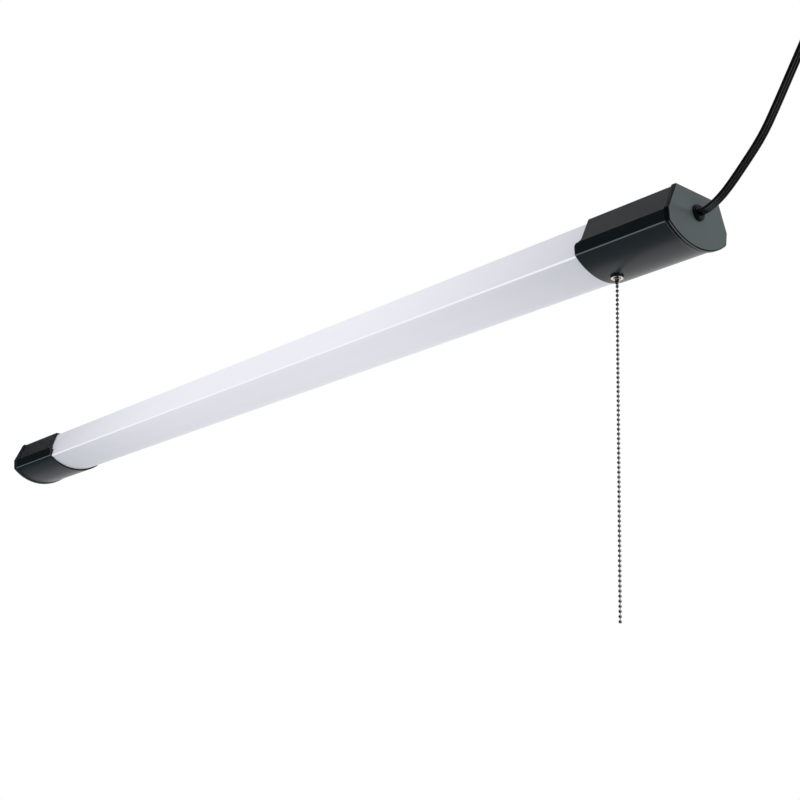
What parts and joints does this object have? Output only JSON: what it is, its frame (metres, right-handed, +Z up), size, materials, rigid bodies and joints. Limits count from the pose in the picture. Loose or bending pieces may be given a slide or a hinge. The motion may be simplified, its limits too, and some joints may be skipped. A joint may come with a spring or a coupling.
{
  "type": "hanging shop light",
  "caption": "Long hanging shop light with a white diffuser, black end caps, a bead pull chain for its switch and a flat black cord with a three-pin plug.",
  "frame": {"origin": "Centre of the hanging hole pattern on the top face of the steel tray.", "axes": "+X along the light towards the power cap with the cord and pull chain, +Z up, -Y towards the viewer of the picture."},
  "size_m": [1.4725, 0.0806, 0.5326],
  "materials": {
    "tray_white": "satin white powder coat",
    "pan_white": "white reflective paint",
    "screw_steel": "zinc-plated steel",
    "diffuser_white": "milky white extruded plastic, satin",
    "board_white": "white solder mask on aluminium",
    "chip_yellow": "phosphor over a white package",
    "connector_white": "white nylon",
    "case_steel": "bare galvanised sheet",
    "board_green": "green solder mask",
    "ferrite": "dark ferrite with yellow tape",
    "can_black": "sleeved aluminium can",
    "copper": "enamelled copper wire",
    "cap_black": "satin black moulding",
    "relief_black": "black nylon",
    "cord_black": "black vinyl jacket, glossy",
    "switch_case": "dark phenolic",
    "brass": "bright brass",
    "nickel": "nickel plate",
    "chain_nickel": "nickel-plated bead chain",
    "spring_steel": "blued spring steel",
    "lead_black": "black insulation",
    "lead_white": "white insulation",
    "lead_green": "green insulation",
    "lead_red": "red insulation"
  },
  "bodies": {
    "fixture": {"top_tray": "tray_white", "reflector_pan": "pan_white", "pan_screws": "screw_steel", "diffuser": "diffuser_white", "led_board_left": "board_white", "led_board_right": "board_white", "led_chips": "chip_yellow", "board_screws": "screw_steel", "board_link": "connector_white", "feed_connector": "connector_white", "driver_case": "case_steel", "driver_lid": "case_steel", "driver_circuit_board": "board_green", "driver_transformer": "ferrite", "driver_capacitor": "can_black", "driver_choke": "copper", "driver_screws": "screw_steel", "power_cap_shell": "cap_black", "plain_cap_shell": "cap_black", "power_end_plate": "cap_black", "plain_end_plate": "cap_black", "cap_screws": "screw_steel", "switch_case": "switch_case", "switch_cover": "switch_case", "switch_bushing": "brass", "bushing_nut": "nickel", "bushing_locknut": "brass", "switch_spring": "spring_steel", "switch_contacts": "brass", "strain_relief": "relief_black", "cord_tail": "cord_black", "power_cord": "cord_black", "cord_coil": "cord_black", "cord_tie": "relief_black", "plug_body": "cord_black", "plug_blades": "nickel", "plug_ground_pin": "nickel", "hot_lead": "lead_black", "neutral_lead": "lead_white", "switched_lead": "lead_red", "ground_lead": "lead_green", "ring_terminal": "brass", "ground_screw": "lead_green", "led_leads": "lead_red"},
    "switch_pull": {"draw_chain": "brass"},
    "drum": {"switch_drum": "brass"},
    "rotor": {"contact_rotor": "switch_case"},
    "coupling": {"chain_coupling": "nickel"},
    "chain_top": {"pull_chain_top": "chain_nickel"},
    "chain_upper": {"pull_chain_upper": "chain_nickel"},
    "chain_lower": {"pull_chain_lower": "chain_nickel"},
    "chain_end": {"pull_chain_end": "chain_nickel"}
  },
  "joints": [
    {"name": "chain_pull", "type": "slide", "parent": "fixture", "child": "switch_pull", "axis": [0, 0, -1], "range_m": [0, 0.009]},
    {"name": "drum_turn", "type": "hinge", "parent": "fixture", "child": "drum", "pos_m": [0.52255, 0, -0.03191], "axis": [0, -1, 0], "range_deg": [0, 87], "stiffness_Nm_per_rad": 0.02, "springref_deg": -9.74, "deforming": ["switch_spring"]},
    {"name": "rotor_index", "type": "hinge", "parent": "fixture", "child": "rotor", "pos_m": [0.52255, 0, -0.03191], "axis": [0, -1, 0], "range_deg": [0, 45.1]},
    {"name": "coupling_tilt", "type": "hinge", "parent": "switch_pull", "child": "coupling", "pos_m": [0.5166, 0, -0.053], "axis": [1, 0, 0], "range_deg": [-20, 20]},
    {"name": "chain_swing", "type": "hinge", "parent": "coupling", "child": "chain_top", "pos_m": [0.5166, 0, -0.0577], "axis": [0, 1, 0], "range_deg": [-35, 35]},
    {"name": "chain_bend_upper", "type": "hinge", "parent": "chain_top", "child": "chain_upper", "pos_m": [0.5166, 0, -0.13114], "axis": [0, 1, 0], "range_deg": [-25, 25]},
    {"name": "chain_bend_lower", "type": "hinge", "parent": "chain_upper", "child": "chain_lower", "pos_m": [0.5166, 0, -0.2089], "axis": [1, 0, 0], "range_deg": [-25, 25]},
    {"name": "chain_bend_end", "type": "hinge", "parent": "chain_lower", "child": "chain_end", "pos_m": [0.5166, 0, -0.28666], "axis": [0, 1, 0], "range_deg": [-25, 25]}
  ],
  "couplings": [
    {"joint": "drum_turn", "follows": "chain_pull", "rad_per_m": 168.07},
    {"joint": "rotor_index", "follows": "chain_pull", "rad_per_m": 87.266}
  ]
}
